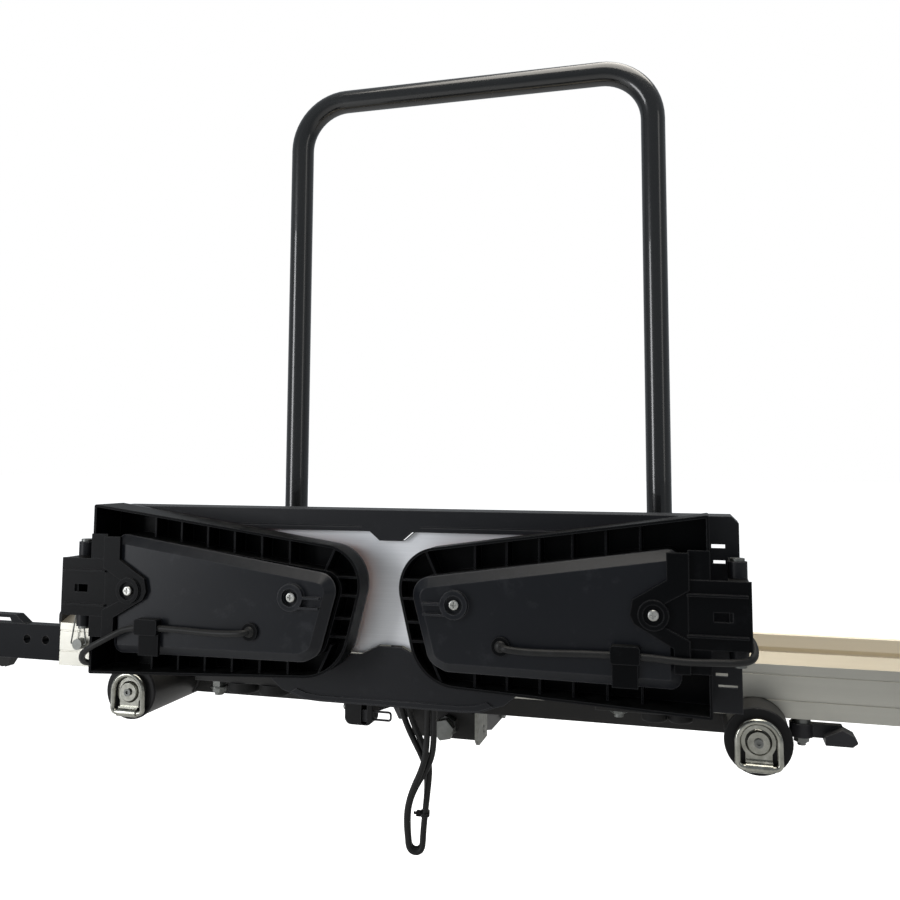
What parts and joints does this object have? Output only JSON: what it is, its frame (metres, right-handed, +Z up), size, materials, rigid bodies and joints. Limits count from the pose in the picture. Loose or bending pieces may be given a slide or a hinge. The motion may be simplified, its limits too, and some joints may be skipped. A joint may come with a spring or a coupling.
{
  "type": "tow bar motorcycle carrier",
  "caption": "Motorcycle carrier for a tow ball: aluminium wheel rail on a steel frame, support hoop, wheel cradle on sliding bars, and a number plate board with fold-out lamps",
  "frame": {"origin": "centre of the tow ball that the coupling clamps", "axes": "+X to the right seen from behind the vehicle and along the wheel rail, +Y forward to the vehicle, +Z up"},
  "size_m": [1.7641, 0.4797, 0.9049],
  "materials": {
    "arm_paint": "satin black powder coat",
    "hoop_paint": "gloss black powder coat",
    "aluminium_rail": "anodised extrusion",
    "holder_steel": "satin black powder coat",
    "zinc": "zinc plated",
    "ring_steel": "polished stainless steel",
    "cup_steel": "forged steel, black",
    "lever_steel": "satin black steel bar",
    "board_plastic": "moulded black plastic",
    "lamp_plastic": "moulded black plastic",
    "lamp_back_plastic": "fine grained black plastic",
    "lens_plastic": "clear red lens",
    "circuit": "green circuit board",
    "plate_blank": "satin silver sheet",
    "cap_plastic": "moulded black plastic",
    "rubber": "black rubber"
  },
  "bodies": {
    "frame": {"arm_left": "arm_paint", "arm_right": "arm_paint", "arm_caps": "cap_plastic", "ring_plates": "ring_steel", "ring_screws": "zinc", "rear_beam": "arm_paint", "front_beam": "arm_paint", "wheel_rail": "aluminium_rail", "rail_end_caps": "cap_plastic", "hoop_sockets": "arm_paint", "coupling_housing": "arm_paint", "ball_cup": "cup_steel", "coupling_pins": "zinc", "housing_bolt": "zinc", "loom_bracket": "zinc", "rail_clamp_bolt": "zinc", "board_bracket_left": "arm_paint", "board_bracket_right": "arm_paint", "bracket_bolts": "zinc", "board_screws": "zinc", "rubber_buffers": "rubber", "light_board": "board_plastic", "plate_sheet": "plate_blank", "board_ends": "board_plastic", "hinge_pins": "zinc", "loom_cables": "rubber", "zip_tie": "cap_plastic"},
    "d_ring_left": {"d_ring_left": "ring_steel"},
    "d_ring_right": {"d_ring_right": "ring_steel"},
    "wheel_holder": {"slider_bars": "holder_steel", "chock_base": "holder_steel", "chock_pads": "rubber", "cradle_pin": "zinc"},
    "cradle": {"wheel_cradle": "holder_steel"},
    "lock_pin": {"lock_pin": "zinc"},
    "pin_bail": {"pin_bail": "zinc"},
    "hoop": {"hoop": "hoop_paint"},
    "hoop_knob_left": {"hoop_knob_left": "cap_plastic"},
    "hoop_knob_right": {"hoop_knob_right": "cap_plastic"},
    "coupling_lever": {"coupling_lever": "lever_steel", "lever_grip": "cap_plastic", "grip_bolt": "zinc"},
    "coupling_jaw": {"coupling_jaw": "cup_steel"},
    "rail_clamp_lever": {"rail_clamp_lever": "lever_steel"},
    "lamp_left": {"lamp_left_shell": "lamp_plastic", "lamp_left_lens": "lens_plastic", "lamp_left_circuit": "circuit", "lamp_left_back": "lamp_back_plastic", "lamp_left_bracket": "lamp_plastic", "lamp_left_cable_fittings": "lamp_plastic", "lamp_left_screws": "zinc", "lamp_left_cable": "rubber"},
    "lamp_right": {"lamp_right_shell": "lamp_plastic", "lamp_right_lens": "lens_plastic", "lamp_right_circuit": "circuit", "lamp_right_back": "lamp_back_plastic", "lamp_right_bracket": "lamp_plastic", "lamp_right_cable_fittings": "lamp_plastic", "lamp_right_screws": "zinc", "lamp_right_cable": "rubber"}
  },
  "joints": [
    {"name": "lamp_left_fold", "type": "hinge", "parent": "frame", "child": "lamp_left", "pos_m": [-0.317, -0.409, 0.184], "axis": [0, 0, -1], "range_deg": [0, 180], "deforming": ["lamp_left_cable"]},
    {"name": "lamp_right_fold", "type": "hinge", "parent": "frame", "child": "lamp_right", "pos_m": [0.317, -0.409, 0.184], "axis": [0, 0, 1], "range_deg": [0, 180], "deforming": ["lamp_right_cable"]},
    {"name": "d_ring_left_fold", "type": "hinge", "parent": "frame", "child": "d_ring_left", "pos_m": [-0.3355, -0.3045, 0.0278], "axis": [1, 0, 0], "range_deg": [0, 150]},
    {"name": "d_ring_right_fold", "type": "hinge", "parent": "frame", "child": "d_ring_right", "pos_m": [0.3355, -0.3045, 0.0278], "axis": [1, 0, 0], "range_deg": [0, 150]},
    {"name": "wheel_holder_slide", "type": "slide", "parent": "frame", "child": "wheel_holder", "axis": [-1, 0, 0], "range_m": [0, 0.0544]},
    {"name": "cradle_rock", "type": "hinge", "parent": "wheel_holder", "child": "cradle", "pos_m": [-0.8, -0.1795, 0.144], "axis": [0, 1, 0], "range_deg": [-12, 12]},
    {"name": "lock_pin_pull", "type": "slide", "parent": "frame", "child": "lock_pin", "axis": [0, -1, 0], "range_m": [0, 0.045]},
    {"name": "pin_bail_swing", "type": "hinge", "parent": "lock_pin", "child": "pin_bail", "pos_m": [-0.436, -0.261, 0.0893], "axis": [1, 0, 0], "range_deg": [0, 100]},
    {"name": "hoop_slide", "type": "slide", "parent": "frame", "child": "hoop", "axis": [0, 0, 1], "range_m": [0, 0.06]},
    {"name": "hoop_knob_left_turn", "type": "hinge", "parent": "frame", "child": "hoop_knob_left", "pos_m": [-0.26, -0.08, 0.13], "axis": [1, 0, 0], "continuous": true},
    {"name": "hoop_knob_right_turn", "type": "hinge", "parent": "frame", "child": "hoop_knob_right", "pos_m": [0.26, -0.08, 0.13], "axis": [1, 0, 0], "continuous": true},
    {"name": "coupling_lever_pull", "type": "hinge", "parent": "frame", "child": "coupling_lever", "pos_m": [-0.05, -0.1, 0.014], "axis": [1, 0, 0], "range_deg": [0, 60]},
    {"name": "jaw_close", "type": "hinge", "parent": "frame", "child": "coupling_jaw", "pos_m": [0, -0.052, -0.006], "axis": [1, 0, 0], "range_deg": [-51, 0]},
    {"name": "rail_clamp_turn", "type": "hinge", "parent": "frame", "child": "rail_clamp_lever", "pos_m": [0.378, -0.2445, 0.0505], "axis": [0, 0, 1], "range_deg": [-70, 0]}
  ],
  "couplings": [
    {"joint": "jaw_close", "follows": "coupling_lever_pull", "ratio": -0.85}
  ]
}
